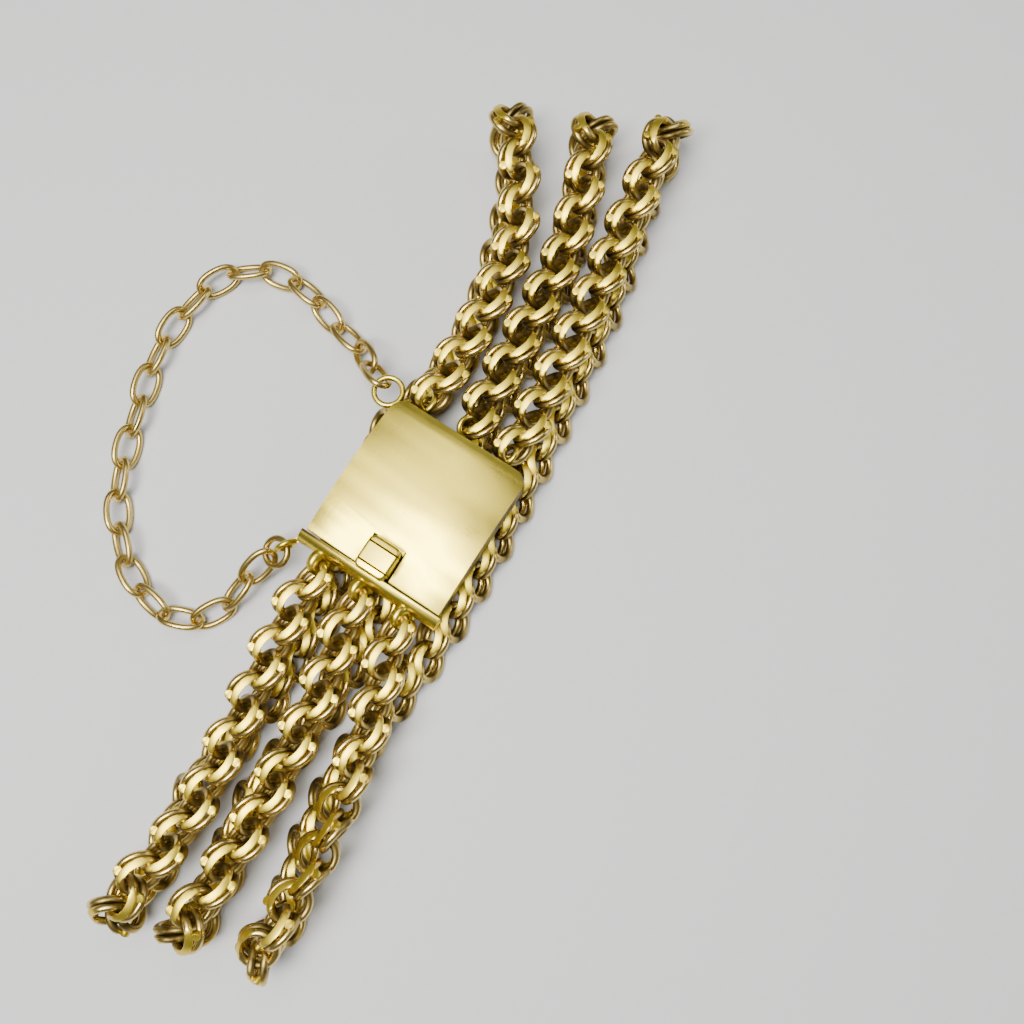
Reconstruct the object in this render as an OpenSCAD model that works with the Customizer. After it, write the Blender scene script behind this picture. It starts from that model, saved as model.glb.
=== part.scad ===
// Three-strand gold chain bracelet with a box clasp and a safety chain.
// It lies closed on a flat surface, pressed into two layers: the clasp is on top,
// one fold is at the -X end and one at the +X end.
// Millimetres. X runs along the bracelet, Y across it, Z up from the surface.

/* [Strand links] */
// Radius of the wire centre line of a round ring
ring_r = 1.77; // [1.5:0.01:2.1]
// Radius of the ring wire
wire_r = 0.28; // [0.2:0.01:0.36]
// Distance between the two soldered rings of a link
pair_gap = 0.53; // [0.4:0.01:0.7]
// Roll of a link to its side at a pitch of 2.1
roll = 42; // [35:0.5:48]
// Links in the left strand
links_left = 72; // [60:1:75]
// Links in the middle strand
links_middle = 73; // [60:1:75]
// Links in the right strand
links_right = 74; // [60:1:75]

/* [Strand lay] */
// Link pitch at the end bar's end of a strand
pitch_bar = 2.24; // [2.0:0.01:2.4]
// Link pitch at the case's end of a strand
pitch_case = 2.08; // [1.9:0.01:2.3]
// Link pitch round a fold
pitch_fold = 2.25; // [2.1:0.01:2.4]
// Radius of a fold
fold_r = 2.4; // [2.2:0.05:3]
// Height of the lower layer's centre line
low_z = 1.68; // [1.66:0.02:2.2]
// Height of the upper layer's centre line
high_z = 5.35; // [5.2:0.05:6]
// Sideways shift of a link per unit of bend
bend_shift = 1.1; // [0.8:0.05:1.5]

/* [Clasp case] */
// Length of the case along the bracelet
case_l = 15.2; // [12:0.1:18]
// Width of the case
case_w = 14.6; // [12:0.1:18]
// Height of the case's underside
case_z = 3.7; // [3.6:0.05:4.5]
// Height of the arched top at its middle
case_top = 7.2; // [6.5:0.05:8]
// Rise of the arch
arch = 1.0; // [0.4:0.05:1.6]
// Radius of the two corners in plan at the strands' end
corner_r = 1.5; // [0.6:0.1:3]
// Wall of the case
wall = 0.8; // [0.6:0.05:1.2]

/* [Tongue and thumb tab] */
// Gap between the case and the end bar
bar_gap = 0.12; // [0.05:0.01:0.3]
// Radius of the half-round end bar
bar_r = 1.25; // [1:0.05:1.5]
// Length of the end bar across the bracelet
bar_l = 15.2; // [13:0.1:16]
// Width of the tongue
tongue_w = 12.0; // [9:0.1:13]
// Length of the thumb piece along the bracelet
thumb_l = 2.9; // [2.2:0.1:3.6]
// Width of the thumb piece
thumb_w = 3.05; // [2.4:0.05:4]
// Height of the thumb piece's top
thumb_z = 8.3; // [7.8:0.05:9]

/* [Eyes] */
// Sideways spacing of the three strand eyes
eye_pitch = 4.6; // [4:0.1:5.2]
// Radius of the wire centre line of a strand eye
eye_r = 0.95; // [0.85:0.01:1.1]
// Radius of an eye's wire
eye_wire = 0.28; // [0.2:0.01:0.35]
// Radius of the centre line of the safety chain's large ring on the case
lug_r = 1.38; // [1.2:0.01:1.6]

/* [Safety chain] */
// Oval links in the safety chain
safety_links = 23; // [18:1:24]
// Outer length of an oval link
oval_l = 4.62; // [4.3:0.01:4.8]
// Outer width of an oval link
oval_w = 2.85; // [2.5:0.05:3.1]
// Radius of the safety chain's wire
safety_wire = 0.26; // [0.2:0.01:0.3]
// Centre line of the round ring at the end bar
jump_r = 1.32; // [1.1:0.01:1.5]

/* [Hidden] */
// Middle of the whole bracelet's footprint, seen from the clasp's centre
foot = [0.5, 10];
// Rise that sets the whole bracelet on the surface
lift = 0.02;
gold = [0.86, 0.68, 0.36];
pale = [0.90, 0.78, 0.52];
sub = 8;
half_l = case_l / 2;
half_w = case_w / 2;
arch_r = (half_l * half_l + arch * arch) / (2 * arch);
eye_z = 5.3;
last_x = 10.4;
first_x = -11.3;

// Points that each strand's centre line runs through, from the end bar round to the case:
// [x, y, z, heading of its lateral frame, roll of that frame]
function fold(x, y, h, up, turn) = [for (a = [-90:30:90])
    let (d = fold_r * (1 - cos(a)))
    [x - d * cos(h), y - d * sin(h), low_z + fold_r + up * fold_r * sin(a), turn, 0]];

left_path = concat(
    [[first_x, eye_pitch, eye_z, 0, 0], [-18, 3.8, high_z, 0, 0], [-27.1, 2.3, high_z, 0, 0],
     [-34, 1.5, high_z, 0, 0], [-39, 1.7, 5.9, 0, 0]],
    fold(-44.8, 2.2, 180, -1, 0),
    [[-38, 2.6, low_z, 0, 0], [-32.5, 3.2, low_z, 0, 0], [-25, 2.5, low_z, 0, 0], [-18, 2.3, low_z, 0, 0],
     [-8, 3.9, low_z, 0, 0], [-1.5, 4.8, low_z, 0, 0], [3.6, 7.4, low_z, 0, 0], [9, 6.4, low_z, 0, 0],
     [16, 5.9, low_z, 10, 0], [26, 8, low_z, 25, 0]],
    fold(38, 14.4, 42, 1, 42),
    [[32, 9.6, 5.9, 35, 0], [27, 6.8, high_z, 15, 0], [20, 5.4, high_z, 10, 0], [last_x, eye_pitch + 0.1, eye_z, 0, 0]]);

middle_path = concat(
    [[first_x, 0, eye_z, 0, 0], [-17.2, -1.6, high_z, 0, 0], [-26, -3, high_z, 0, 0],
     [-32.5, -3.6, high_z, 0, 0], [-37.4, -3.7, 5.9, 0, 0]],
    fold(-43.2, -3.6, 180, -1, 0),
    [[-37, -3, low_z, 0, 0], [-31, -1.9, low_z, 0, 0], [-22, -2.5, low_z, 0, 0], [-14, -2.3, low_z, 0, 0],
     [0, -1.2, low_z, 0, 0], [14, 0, low_z, 5, 0], [26, 1.6, low_z, 12, 0]],
    fold(41.6, 6.8, 22, 1, 22),
    [[34.6, 3.9, 5.9, 20, 0], [28.6, 2.1, high_z, 10, 0], [20, 1, high_z, 5, 0], [last_x, 0, eye_z, 0, 0]]);

right_path = concat(
    [[first_x, -eye_pitch, eye_z, 0, 0], [-17.6, -6.9, high_z, 10, 0], [-24.2, -8.8, high_z, 8, 0],
     [-30.2, -10, high_z, 4, 0], [-35, -10.4, 5.9, 0, 0]],
    fold(-41, -10.4, 180, -1, 0),
    [[-34, -9, low_z, 0, 0], [-28, -7.8, low_z, 0, 0], [-20, -7.4, low_z, 0, 0], [-12, -7.9, low_z, 0, 0],
     [0, -7.4, low_z, 0, 0], [14, -5.8, low_z, 5, 0], [28, -3.6, low_z, 8, 0]],
    fold(45.6, 0.4, 8, 1, 8),
    [[38, -0.8, 5.9, 8, 0], [32, -1.8, high_z, 8, 0], [22, -3.3, high_z, 6, 0], [last_x, -eye_pitch, eye_z, 0, 0]]);

// The safety chain's centre line, from the case's ring round to the end bar's ring
safety_path = [[8.5, 10.9, 4.2, 0, 0], [9.9, 13.6, 2.2, 0, 0], [10.8, 16.4, 1.2, 0, 0], [11.6, 19.5, 1.15, 0, 0],
    [12.5, 22.8, 1.15, 0, 0], [12.4, 25.6, 1.15, 0, 0], [11.2, 28.4, 1.15, 0, 0], [8.6, 30.6, 1.15, 0, 0],
    [4.6, 31.5, 1.15, 0, 0], [-0.3, 31.4, 1.15, 0, 0], [-5, 30.1, 1.15, 0, 0], [-9.7, 28.4, 1.15, 0, 0],
    [-14.2, 26.3, 1.15, 0, 0], [-18.3, 22.9, 1.15, 0, 0], [-20.8, 19, 1.15, 0, 0], [-21.5, 15.6, 1.15, 0, 0],
    [-20.2, 12.2, 1.15, 0, 0], [-17.9, 10.9, 1.3, 0, 0], [-15.2, 10.4, 2.1, 0, 0], [-13, 9.9, 3, 0, 0]];

// Smooth curve through a path's points
function xyz(p) = [p[0], p[1], p[2]];
function run(p, i) = norm(xyz(p[i + 1]) - xyz(p[i]));
function slope(p, i) =
    i == 0 ? (xyz(p[1]) - xyz(p[0])) / run(p, 0) :
    i == len(p) - 1 ? (xyz(p[i]) - xyz(p[i - 1])) / run(p, i - 1) :
    let (a = run(p, i - 1), b = run(p, i))
    ((xyz(p[i]) - xyz(p[i - 1])) / a * b + (xyz(p[i + 1]) - xyz(p[i])) / b * a) / (a + b);
function ease(t) = 3 * t * t - 2 * t * t * t;
function spot(p, i, t, floor_z) =
    let (h = run(p, i), e = ease(t),
         c = (1 - e) * xyz(p[i]) + (t - 2 * t * t + t * t * t) * h * slope(p, i)
             + e * xyz(p[i + 1]) + (t * t * t - t * t) * h * slope(p, i + 1))
    [c[0], c[1], max(c[2], floor_z), p[i][3] + (p[i + 1][3] - p[i][3]) * e, p[i][4] + (p[i + 1][4] - p[i][4]) * e];
function curve(p, floor_z) = concat(
    [for (i = [0:len(p) - 2]) for (j = [0:sub - 1]) spot(p, i, j / sub, floor_z)],
    [p[len(p) - 1]]);
function lengths(c) = [for (i = 0, s = 0; i < len(c);
    s = s + (i + 1 < len(c) ? norm(xyz(c[i + 1]) - xyz(c[i])) : 0), i = i + 1) s];
function table(s, c, k) = [for (i = [0:len(c) - 1]) [s[i], c[i][k]]];
function tables(s, c) = [for (k = [0:4]) table(s, c, k)];
function at(tabs, u) = [for (k = [0:4]) lookup(u, tabs[k])];

// How far a link is in a fold: 1 beside a tip, 0 in the straight runs
function in_fold(u, tips) = max(0, min(1, (13 - min(abs(u - tips[0]), abs(u - tips[1]))) / 7));
function pitch(u, total, tips) =
    let (f = in_fold(u, tips))
    lookup(u, [[0, pitch_bar], [40, pitch_bar], [total - 40, pitch_case], [total, pitch_case]]) * (1 - f)
    + pitch_fold * f;
function steps(count, total, tips) = [for (n = 0, q = 0; n < count;
    q = q + pitch(q, total, tips), n = n + 1) q];

// Turn of a link about the upright and roll of a link to its side, from its pitch
function yaw_of(p) = lookup(p, [[1.9, 31], [2, 28.5], [2.1, 24], [2.2, 16], [2.35, 10]]);
function roll_of(p) = roll + lookup(p, [[1.8, 5], [2, 1], [2.1, 0], [2.4, -2.5]]);

function unit(v) = v / norm(v);
function place(c, x, y, z) = [[x[0], y[0], z[0], c[0]], [x[1], y[1], z[1], c[1]], [x[2], y[2], z[2], c[2]], [0, 0, 0, 1]];

// Two round rings soldered side by side; the pair's axis is Z
module link() {
    rotate_extrude($fn = 48)
        for (s = [-1, 1])
            translate([ring_r, s * pair_gap / 2]) circle(r = wire_r, $fn = 24);
}

module strand(path, count) {
    c = curve(path, low_z);
    s = lengths(c);
    tabs = tables(s, c);
    total = s[len(s) - 1];
    tips = [s[8 * sub], s[(len(path) - 8) * sub]];
    raw = steps(count, total, tips);
    q = raw * (total / raw[count - 1]);
    for (n = [0:count - 1]) {
        a = at(tabs, max(0, q[n] - 1.6));
        b = at(tabs, min(total, q[n] + 1.6));
        m = at(tabs, q[n]);
        t = unit(xyz(b) - xyz(a));
        level = [sin(m[3]), -cos(m[3]), 0];
        side = unit(level - (level * t) * t);
        out = cross(t, side);
        bend = n == 0 || n == count - 1 ? 0 : ((2 * xyz(m) - xyz(a) - xyz(b)) * out) / (1.6 * 1.6);
        gap = (q[min(n + 1, count - 1)] - q[max(n - 1, 0)]) / (min(n + 1, count - 1) - max(n - 1, 0));
        turn = yaw_of(gap) * (1 - min(1, abs(bend) / 0.12));
        dip = roll_of(gap) - 8 * bend;
        sg = n % 2 == 1 ? 1 : -1;
        e1 = t * cos(turn) - side * sin(turn);
        across = -side * cos(turn) - t * sin(turn);
        e2 = across * cos(dip) * sg + out * sin(dip);
        axis = unit(cross(e1, e2));
        multmatrix(place(xyz(m) - side * sg * bend_shift * bend, e1, cross(axis, e1), axis)) link();
    }
}

// One oval link: X is its length, Y its width
module oval() {
    a = oval_w / 2 - safety_wire;
    h = oval_l / 2 - safety_wire - a;
    for (s = [-1, 1]) {
        translate([s * h, 0, 0]) rotate([0, 0, -90 * s]) rotate_extrude(angle = 180, $fn = 32)
            translate([a, 0]) circle(r = safety_wire, $fn = 20);
        translate([-h, s * a, 0]) rotate([0, 90, 0]) cylinder(h = 2 * h, r = safety_wire, $fn = 20);
    }
}

module ring(radius, wire) {
    rotate_extrude($fn = 40) translate([radius, 0]) circle(r = wire, $fn = 20);
}

// Upright eye of a strand at c, square to the link that hangs in it
module strand_eye(c, tip) {
    translate(c) rotate([90 + tip, 0, 0]) ring(eye_r, eye_wire);
}

// Block under the arched top, inset all round by d
module arched(d, top) {
    intersection() {
        translate([0, 0, case_z - 1]) linear_extrude(height = 6) {
            translate([d - half_l, d - half_w]) square([case_l - d - corner_r, case_w - 2 * d]);
            translate([d - half_l, corner_r - half_w]) square([case_l - 2 * d, case_w - 2 * corner_r]);
            for (y = [-1, 1]) translate([half_l - corner_r, y * (half_w - corner_r)]) circle(r = corner_r - d, $fn = 32);
        }
        translate([0, 0, top - arch_r]) rotate([90, 0, 0]) cylinder(h = case_w + 2, r = arch_r, center = true, $fn = 120);
    }
}

module clasp_case() {
    difference() {
        union() {
            difference() {
                arched(0, case_top);
                translate([-case_l, -case_w, case_z - 2]) cube([2 * case_l, 2 * case_w, 2]);
            }
            strand_eye([half_l + 1.05, eye_pitch + 0.28, eye_z - 0.43], 40);
            strand_eye([half_l + 1.05, 0.26, eye_z + 0.3], -45);
            strand_eye([half_l + 1.05, 0.25 - eye_pitch, eye_z - 0.3], 40);
            translate([7.6, 8.7, 5]) ring(lug_r, 0.27);
            translate([6.3, 6.2, 5]) rotate([0, 0, 61]) translate([0, -0.4, -0.3]) cube([1.5, 0.8, 0.6]);
        }
        // hollow for the tongue, open at the -X end
        intersection() {
            arched(wall, case_top - wall);
            translate([-half_l - 1, -tongue_w / 2 - 0.15, case_z + 0.75]) cube([case_l - wall, tongue_w + 0.3, 5]);
        }
        translate([-half_l - 1, -tongue_w / 2 - 0.15, case_z + 0.75]) cube([wall + 2, tongue_w + 0.3, 0.75]);
        // mouth for the upper leaf and the thumb piece
        translate([-half_l - 1, -thumb_w / 2 - 0.25, case_z + 1]) cube([thumb_l + 1.25, thumb_w + 0.5, 6]);
    }
}

module clasp_box() {
    color(pale) clasp_case();
}

module tongue() {
    color(pale) {
        // lower leaf
        translate([-half_l - bar_gap - 0.2, -tongue_w / 2, case_z + 0.85]) cube([13.3, tongue_w, 0.5]);
        // half-round end bar
        translate([-half_l - bar_gap, 0, case_z + 1.65]) intersection() {
            rotate([90, 0, 0]) cylinder(h = bar_l, r = bar_r, center = true, $fn = 48);
            translate([-3, -bar_l, -3]) cube([3, 2 * bar_l, 6]);
        }
        for (i = [-1:1]) strand_eye([first_x + 1.78, i * (eye_pitch - 0.09), eye_z - i * 0.11], -41);
        // eye of the safety chain on the bar's end
        translate([-9.86, 8.44, 4.6]) rotate([90, 0, -33]) ring(0.9, 0.28);
        translate([-8.7, 7.7, 4.35]) rotate([0, 0, -33]) translate([-0.7, -0.25, 0]) cube([1.4, 0.5, 0.5]);
    }
}

module thumb_tab() {
    x0 = -half_l + 0.1;
    color(pale) {
        difference() {
            union() {
                // spring leaf
                rotate([90, 0, 0]) linear_extrude(height = 9, center = true)
                    polygon([[5.4, case_z + 1.42], [5.4, case_z + 1.82], [-4.2, case_z + 2.3], [-4.2, case_z + 1.95]]);
                rotate([90, 0, 0]) linear_extrude(height = thumb_w, center = true)
                    polygon([[-4, case_z + 1.95], [-4, case_z + 2.3], [x0, case_z + 2.3], [x0, case_z + 2]]);
                // thumb piece with a domed and bevelled top
                intersection() {
                    translate([x0, -thumb_w / 2, case_z + 2]) cube([thumb_l - 0.15, thumb_w, thumb_z - case_z - 2]);
                    translate([x0 + thumb_l / 2 - 0.08, 0, thumb_z - 3.2]) rotate([90, 0, 0]) cylinder(h = 6, r = 3.2, center = true, $fn = 60);
                    translate([x0 + thumb_l / 2 - 0.08, 0, thumb_z - 3.6]) rotate([0, 90, 0]) cylinder(h = 6, r = 3.62, center = true, $fn = 60);
                }
            }
            // grip grooves
            for (i = [0, 1]) translate([x0 + 0.9 + 0.8 * i, 0, thumb_z + 0.12]) rotate([90, 0, 0]) cylinder(h = 4, r = 0.3, center = true, $fn = 20);
        }
    }
}

module safety_chain() {
    c = curve(safety_path, 1);
    s = lengths(c);
    tabs = tables(s, c);
    total = s[len(s) - 1];
    color(gold) {
        for (n = [0:safety_links - 1]) {
            q = total * n / (safety_links - 1);
            a = xyz(at(tabs, max(0, q - 1.4)));
            b = xyz(at(tabs, min(total, q + 1.4)));
            e = unit(b - a);
            side = unit(cross([0, 0, 1], e));
            up = cross(e, side);
            tip = n % 2 == 0 ? 45 : -45;
            w = side * cos(tip) + up * sin(tip);
            multmatrix(place(xyz(at(tabs, q)), e, w, cross(e, w))) oval();
        }
        translate([-10.9, 9, 4]) rotate([-20, -20, 0]) ring(jump_r, 0.27);
    }
}

module strand_left() { color(gold) strand(left_path, links_left); }
module strand_middle() { color(gold) strand(middle_path, links_middle); }
module strand_right() { color(gold) strand(right_path, links_right); }

translate([-foot[0], -foot[1], lift]) {
    strand_left();
    strand_middle();
    strand_right();
    clasp_box();
    tongue();
    thumb_tab();
    safety_chain();
}
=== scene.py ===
"""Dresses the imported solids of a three-strand gold chain bracelet with a box clasp.

It lies closed on a pale surface, pressed into two layers, clasp on top, with its
safety chain in a loose loop beside it. Sizes below are in millimetres, seen from the
clasp's centre, unless a line says otherwise; every finished mesh is in metres in the
solids' frame.
"""

import math

import bmesh
import bpy
from bpy.props import FloatProperty, FloatVectorProperty, IntProperty, PointerProperty
from mathutils import Matrix, Vector


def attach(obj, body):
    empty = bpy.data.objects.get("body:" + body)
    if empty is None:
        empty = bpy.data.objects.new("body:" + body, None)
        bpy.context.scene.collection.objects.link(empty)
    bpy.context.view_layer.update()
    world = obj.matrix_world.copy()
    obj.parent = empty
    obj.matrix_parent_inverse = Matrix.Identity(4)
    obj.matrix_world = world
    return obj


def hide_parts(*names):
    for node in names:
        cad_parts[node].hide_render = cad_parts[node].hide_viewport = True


bl_info = {
    "name": "Chain bracelet with box clasp",
    "version": (1, 0, 0),
    "blender": (4, 5, 0),
    "location": "View3D > Sidebar > Bracelet",
    "description": "Builds the dressed chain bracelet round its packed solids",
    "category": "Object",
}

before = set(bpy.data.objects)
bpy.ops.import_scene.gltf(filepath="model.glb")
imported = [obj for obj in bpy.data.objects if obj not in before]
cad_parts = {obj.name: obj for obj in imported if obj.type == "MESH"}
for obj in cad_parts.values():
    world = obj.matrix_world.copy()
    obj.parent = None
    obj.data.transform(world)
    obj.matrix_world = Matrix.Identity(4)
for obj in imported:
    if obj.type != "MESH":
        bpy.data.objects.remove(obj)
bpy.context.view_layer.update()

MM = 0.001
BODY = "bracelet"
THUMB = "thumb"

# Middle of the footprint seen from the clasp's centre, and the rise on to the surface
FOOT = Vector((0.5, 10.0, 0.0))
LIFT = 0.02

# Heights of a strand's two layers and of the crest beside a fold, and where the upper layer begins
LOW_Z, HIGH_Z, CREST_Z = 1.6, 5.3, 5.9
UPPER_FROM_Z = 2.2

# Where strands begin at the end bar and end at the case, and how far apart and how high their eyes are
FIRST_X, LAST_X = -11.3, 9.7
EYE_PITCH, EYE_Z = 4.6, 5.3

# Distance between links near the end bar, near the case and round a fold
PITCH_BAR, PITCH_CASE, PITCH_FOLD = 2.24, 2.08, 2.25
# Length at each end of a strand that keeps its own pitch, and reach and blending length of a fold's pitch
END_RUN, FOLD_REACH, FOLD_BLEND = 40, 13, 7
# Radius of a fold, and the path row at its tip, counted from either end
FOLD_R, TIP_ROW = 2.4, 8

# Half the stretch of path from which a link takes its direction and bend
STRAND_REACH, SAFETY_REACH = 1.6, 1.4
# Bend in 1/mm at which links lie fully as in a fold, and there, their sideways shift for each unit of bend,
# their roll in degrees and how much less it is for each unit of bend
FULL_BEND, FOLD_SHIFT, FOLD_DIP, FOLD_DIP_FALL = 0.3, 1.1, 40, 8
# Turn of a link off the strand's line in degrees, by the distance to its neighbours
YAW_BY_GAP = [(1.9, 31), (2.0, 28.5), (2.1, 25), (2.2, 22), (2.35, 21)]
# Extra roll in degrees, by x, where the right strand's upper layer turns on its side near the fold beyond the end bar
RIGHT_ROLL = [(-42, 24), (-36, 28), (-31, 44), (-27, 46), (-22, 0)]

# Safety chain: height of its run on the surface, least height of its path, and sideways tip of a link in degrees
SAFETY_Z, SAFETY_LOW_Z, SAFETY_TIP = 1.15, 1.0, 45
# Its ovals' outside size and wire, and its round end ring with its place and its tilt in degrees
OVAL_LENGTH, OVAL_WIDTH, FINE_WIRE_R = 4.72, 2.95, 0.31
END_RING_R, END_RING_AT, END_RING_TILT = 1.32, (-10.9, 9, 4), -20

# Steps of a curve between two rows of its path
STEPS = 8


# Paths of the strands, from the end bar round to the case


def level(z, *rows):
    """Path rows at one height, from (x, y) or (x, y, heading in degrees)."""
    return [(x, y, z, *(heading or [0])) for x, y, *heading in rows]


def fold(x, y, heading, rise):
    """Rows round a fold whose tip is at x, y; rise is 1 where the path climbs and -1 where it drops."""
    tip = math.radians(heading if rise > 0 else heading + 180)
    rows = []
    for a in range(-90, 91, 30):
        d = FOLD_R * (1 - math.cos(math.radians(a)))
        z = LOW_Z + FOLD_R + rise * FOLD_R * math.sin(math.radians(a))
        rows.append((x - d * math.cos(tip), y - d * math.sin(tip), z, heading))
    return rows


LEFT_PATH = [
    *level(EYE_Z, (FIRST_X, EYE_PITCH)),
    *level(HIGH_Z, (-18, 3.8), (-27.1, 2.3), (-34, 1.5)),
    *level(CREST_Z, (-39, 1.7)),
    *fold(-44.8, 2.2, 0, -1),
    *level(LOW_Z, (-38, 2.6), (-32.5, 3.2), (-25, 2.5), (-18, 2.3), (-8, 3.9), (-1.5, 4.8)),
    *level(LOW_Z, (3.6, 7.4), (9, 6.4), (16, 5.9, 10), (26, 8, 25)),
    *fold(38, 14.4, 42, 1),
    *level(CREST_Z, (32, 9.6, 35)),
    *level(HIGH_Z, (27, 6.8, 15), (20, 5.4, 10)),
    *level(EYE_Z, (LAST_X, EYE_PITCH + 0.1)),
]
MIDDLE_PATH = [
    *level(EYE_Z, (FIRST_X, 0)),
    *level(HIGH_Z, (-17.2, -1.6), (-26, -3), (-32.5, -3.6)),
    *level(CREST_Z, (-37.4, -3.7)),
    *fold(-43.2, -3.6, 0, -1),
    *level(LOW_Z, (-37, -3), (-31, -1.9), (-22, -2.5), (-14, -2.3), (0, -1.2), (14, 0, 5), (26, 1.6, 12)),
    *fold(41.6, 6.8, 22, 1),
    *level(CREST_Z, (34.6, 3.9, 20)),
    *level(HIGH_Z, (28.6, 2.1, 10), (20, 1, 5)),
    *level(EYE_Z, (LAST_X, 0)),
]
RIGHT_PATH = [
    *level(EYE_Z, (FIRST_X, -EYE_PITCH)),
    *level(HIGH_Z, (-17.6, -6.9, 10), (-24.2, -8.8, 8), (-30.2, -10, 4)),
    *level(CREST_Z, (-35, -10.4)),
    *fold(-41, -10.4, 0, -1),
    *level(LOW_Z, (-34, -9), (-28, -7.8), (-20, -7.4), (-12, -7.9), (0, -7.4), (14, -5.8, 5), (28, -3.6, 8)),
    *fold(45.6, 0.4, 8, 1),
    *level(CREST_Z, (38, -0.8, 8)),
    *level(HIGH_Z, (32, -1.8, 8), (22, -3.3, 6)),
    *level(EYE_Z, (LAST_X, -EYE_PITCH)),
]
# From the eye beside the case round to the end ring beside the end bar
SAFETY_PATH = [
    (8.5, 10.9, 4.2, 0), (9.9, 13.6, 2.2, 0), (10.8, 16.4, 1.2, 0),
    *level(SAFETY_Z, (11.6, 19.5), (12.5, 22.8), (12.4, 25.6), (11.2, 28.4), (8.6, 30.6)),
    *level(SAFETY_Z, (4.6, 31.5), (-0.3, 31.4), (-5, 30.1), (-9.7, 28.4), (-14.2, 26.3)),
    *level(SAFETY_Z, (-18.3, 22.9), (-20.8, 19), (-21.5, 15.6), (-20.2, 12.2)),
    (-17.9, 10.9, 1.3, 0), (-15.2, 10.4, 2.1, 0), (-13, 9.9, 3, 0),
]


def ease(t):
    """Smooth step from 0 to 1."""
    return 3 * t * t - 2 * t * t * t


def mix(table, x):
    """Straight-line lookup in rows of (x, value)."""
    if x <= table[0][0]:
        return table[0][1]
    for (a, u), (b, v) in zip(table, table[1:]):
        if x <= b:
            return u + (v - u) * (x - a) / (b - a) if b > a else v
    return table[-1][1]


class Curve:
    """Smooth curve through a path's rows, looked up by its length."""

    def __init__(self, path, floor_z):
        p = [Vector(r[:3]) for r in path]
        run = [(b - a).length for a, b in zip(p, p[1:])]
        slope = [(p[1] - p[0]) / run[0]]
        for i in range(1, len(p) - 1):
            a, b = run[i - 1], run[i]
            slope.append(((p[i] - p[i - 1]) / a * b + (p[i + 1] - p[i]) / b * a) / (a + b))
        slope.append((p[-1] - p[-2]) / run[-1])
        self.rows = []
        for i in range(len(p) - 1):
            for j in range(STEPS):
                t = j / STEPS
                e = ease(t)
                leave, arrive = (t - 2 * t * t + t**3) * run[i], (t**3 - t * t) * run[i]
                c = (1 - e) * p[i] + leave * slope[i] + e * p[i + 1] + arrive * slope[i + 1]
                heading = path[i][3] + (path[i + 1][3] - path[i][3]) * e
                self.rows.append((c.x, c.y, max(c.z, floor_z), heading))
        self.rows.append((*p[-1], path[-1][3]))
        self.lengths = [0.0]
        for a, b in zip(self.rows, self.rows[1:]):
            self.lengths.append(self.lengths[-1] + (Vector(b[:3]) - Vector(a[:3])).length)
        self.total = self.lengths[-1]

    def at(self, u):
        """Place and heading at length u."""
        u = min(max(u, 0.0), self.total)
        lo, hi = 0, len(self.lengths) - 1
        while hi - lo > 1:
            mid = (lo + hi) // 2
            lo, hi = (mid, hi) if self.lengths[mid] <= u else (lo, mid)
        a, b = self.lengths[lo], self.lengths[hi]
        t = (u - a) / (b - a) if b > a else 0.0
        r = [x + (y - x) * t for x, y in zip(self.rows[lo], self.rows[hi])]
        return Vector(r[:3]), r[3]


def in_frame(place):
    """A place seen from the clasp's centre, moved into the solids' frame, still in millimetres."""
    return place - FOOT + Vector((0, 0, LIFT))


def placed(axes, place):
    """The 4x4 that puts something at a place with its X, Y and Z along three axes."""
    m = Matrix(axes).transposed().to_4x4()
    m.translation = place
    return m


def link_lengths(path, curve, count):
    """How far along its strand each link's middle is."""
    tips = (curve.lengths[TIP_ROW * STEPS], curve.lengths[(len(path) - TIP_ROW) * STEPS])
    bar_end, case_end = END_RUN, curve.total - END_RUN
    straight = [(0, PITCH_BAR), (bar_end, PITCH_BAR), (case_end, PITCH_CASE), (curve.total, PITCH_CASE)]
    spots = [0.0]
    for _ in range(count - 1):
        u = spots[-1]
        folded = max(0.0, min(1.0, (FOLD_REACH - min(abs(u - tips[0]), abs(u - tips[1]))) / FOLD_BLEND))
        spots.append(u + (mix(straight, u) * (1 - folded) + PITCH_FOLD * folded))
    return [u * curve.total / spots[-1] for u in spots]


def extra_roll(path, place, along):
    """Degrees by which a link leans besides its strand's own lean."""
    upper = along.x < 0 and place.z > UPPER_FROM_Z
    return mix(RIGHT_ROLL, place.x) if path is RIGHT_PATH and upper else 0


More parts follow.
